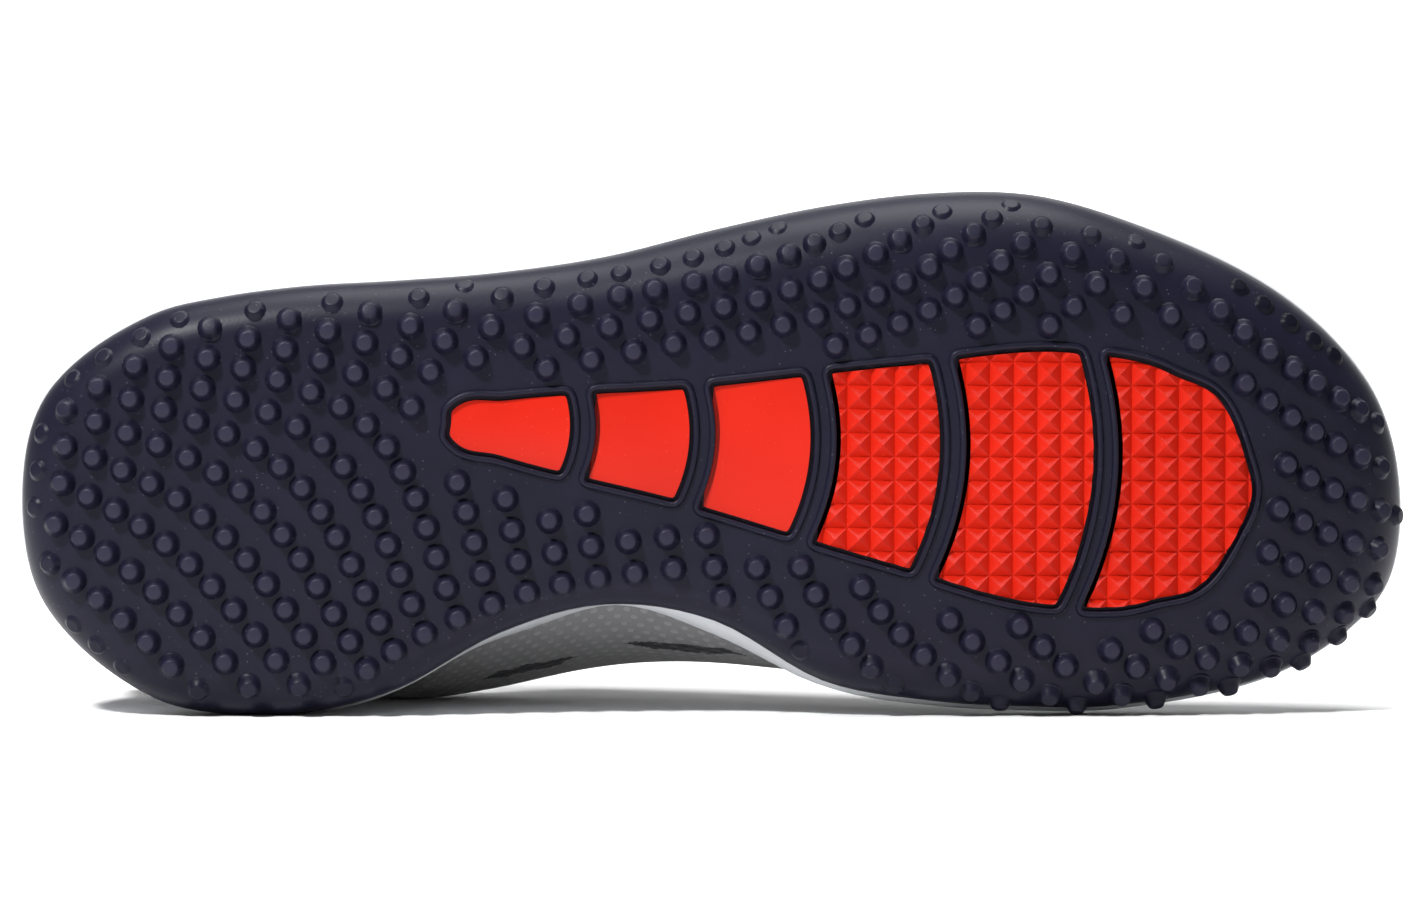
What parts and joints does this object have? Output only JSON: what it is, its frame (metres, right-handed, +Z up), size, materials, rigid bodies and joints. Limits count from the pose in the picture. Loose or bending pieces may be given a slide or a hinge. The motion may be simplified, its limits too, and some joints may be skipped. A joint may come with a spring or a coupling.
{
  "type": "turf shoe",
  "caption": "Low-cut turf training shoe for the right foot, with a studded rubber sole, a foam wedge, a mesh upper, a tongue and crossed laces, lying on its inner side.",
  "frame": {"origin": "middle of the footprint on the floor, under the shoe lying on its inner side", "axes": "+X from heel to toe, +Z up from the floor, and the sole's underside faces -Y"},
  "size_m": [0.3016, 0.1152, 0.1132],
  "materials": {
    "navy_rubber": "satin, finely speckled",
    "red_rubber": "satin",
    "white_foam": "matt moulded foam",
    "grey_mesh": "woven mesh",
    "lining_cloth": "brushed cloth",
    "lace_cloth": "flat woven lace"
  },
  "bodies": {
    "root": {"outsole": "navy_rubber", "insert_1": "red_rubber", "insert_2": "red_rubber", "insert_3": "red_rubber", "insert_4": "red_rubber", "insert_5": "red_rubber", "insert_6": "red_rubber", "midsole": "white_foam", "upper": "grey_mesh", "insole": "lining_cloth", "tongue": "grey_mesh", "laces": "lace_cloth"}
  },
  "joints": []
}
